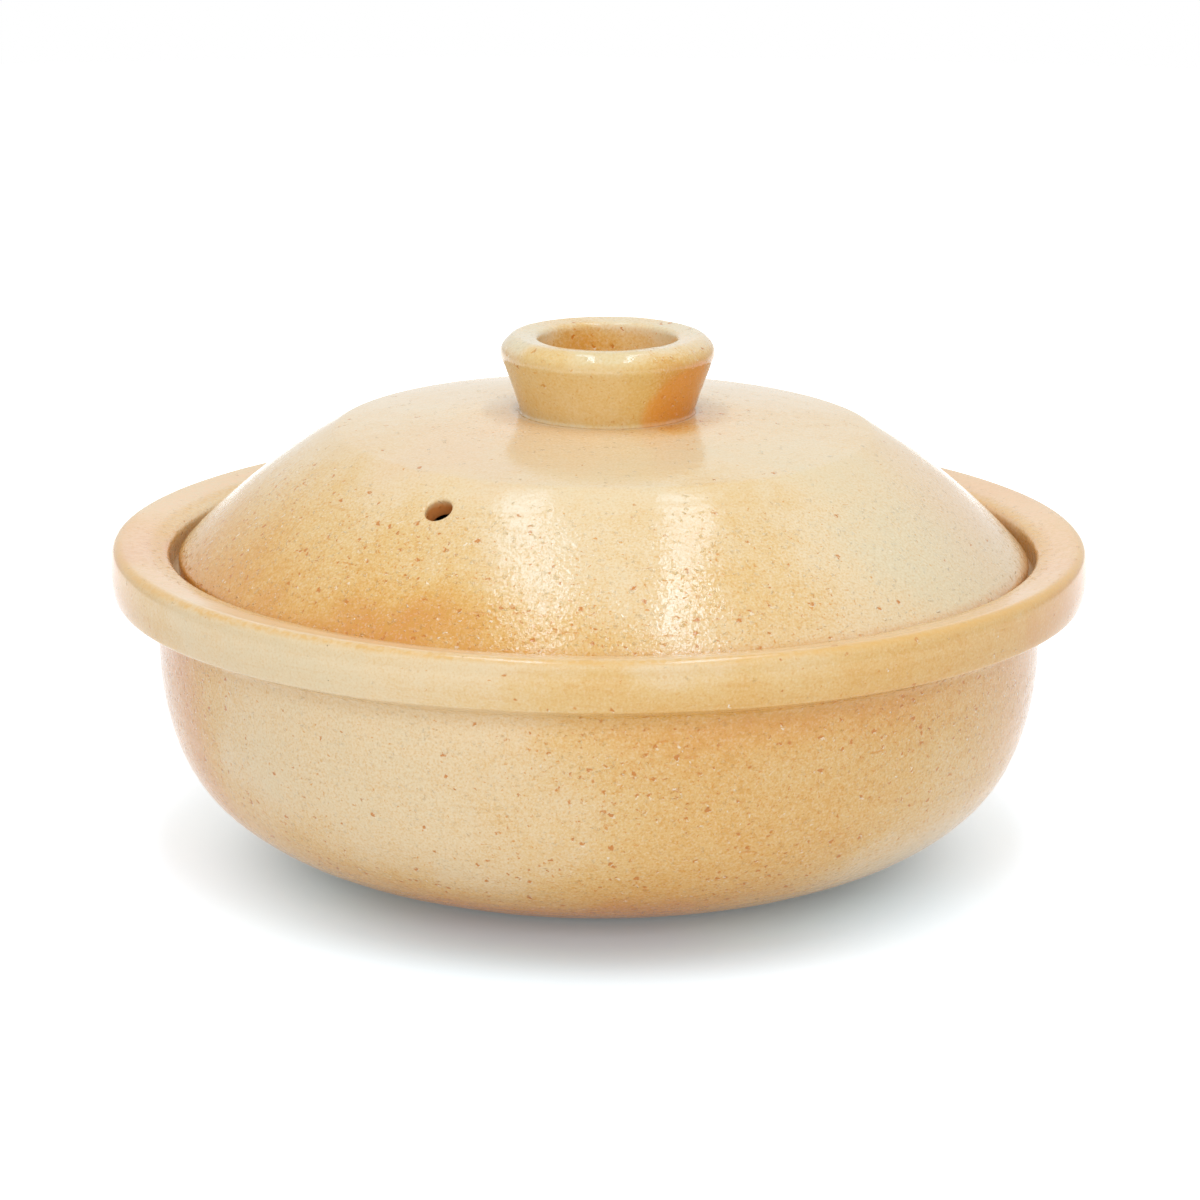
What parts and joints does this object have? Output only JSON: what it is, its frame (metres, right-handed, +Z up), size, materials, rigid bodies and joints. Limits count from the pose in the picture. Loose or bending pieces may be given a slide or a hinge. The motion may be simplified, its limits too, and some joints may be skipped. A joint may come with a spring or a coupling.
{
  "type": "donabe clay pot",
  "caption": "Low round clay cooking pot with a thick rim, a domed lid that sits on a ledge inside it, a hollow ring knob and a steam vent.",
  "frame": {"origin": "centre of the foot ring, on the surface that the pot stands on", "axes": "+Z up along the wheel's axis; -Y is the side the picture shows; the vent points 31 degrees from -Y towards -X"},
  "size_m": [0.272, 0.272, 0.147],
  "materials": {
    "pot_glaze": "glossy glaze over gritty clay, cream to orange",
    "lid_glaze": "glossy glaze over gritty clay, cream to orange",
    "knob_glaze": "glossy glaze over gritty clay, mustard to orange"
  },
  "bodies": {
    "pot": {"pot": "pot_glaze"},
    "lid": {"lid": "lid_glaze", "lid_knob": "knob_glaze"}
  },
  "joints": [
    {"name": "lid_lift", "type": "slide", "parent": "pot", "child": "lid", "axis": [0, 0, 1], "range_m": [0, 0.15]}
  ]
}
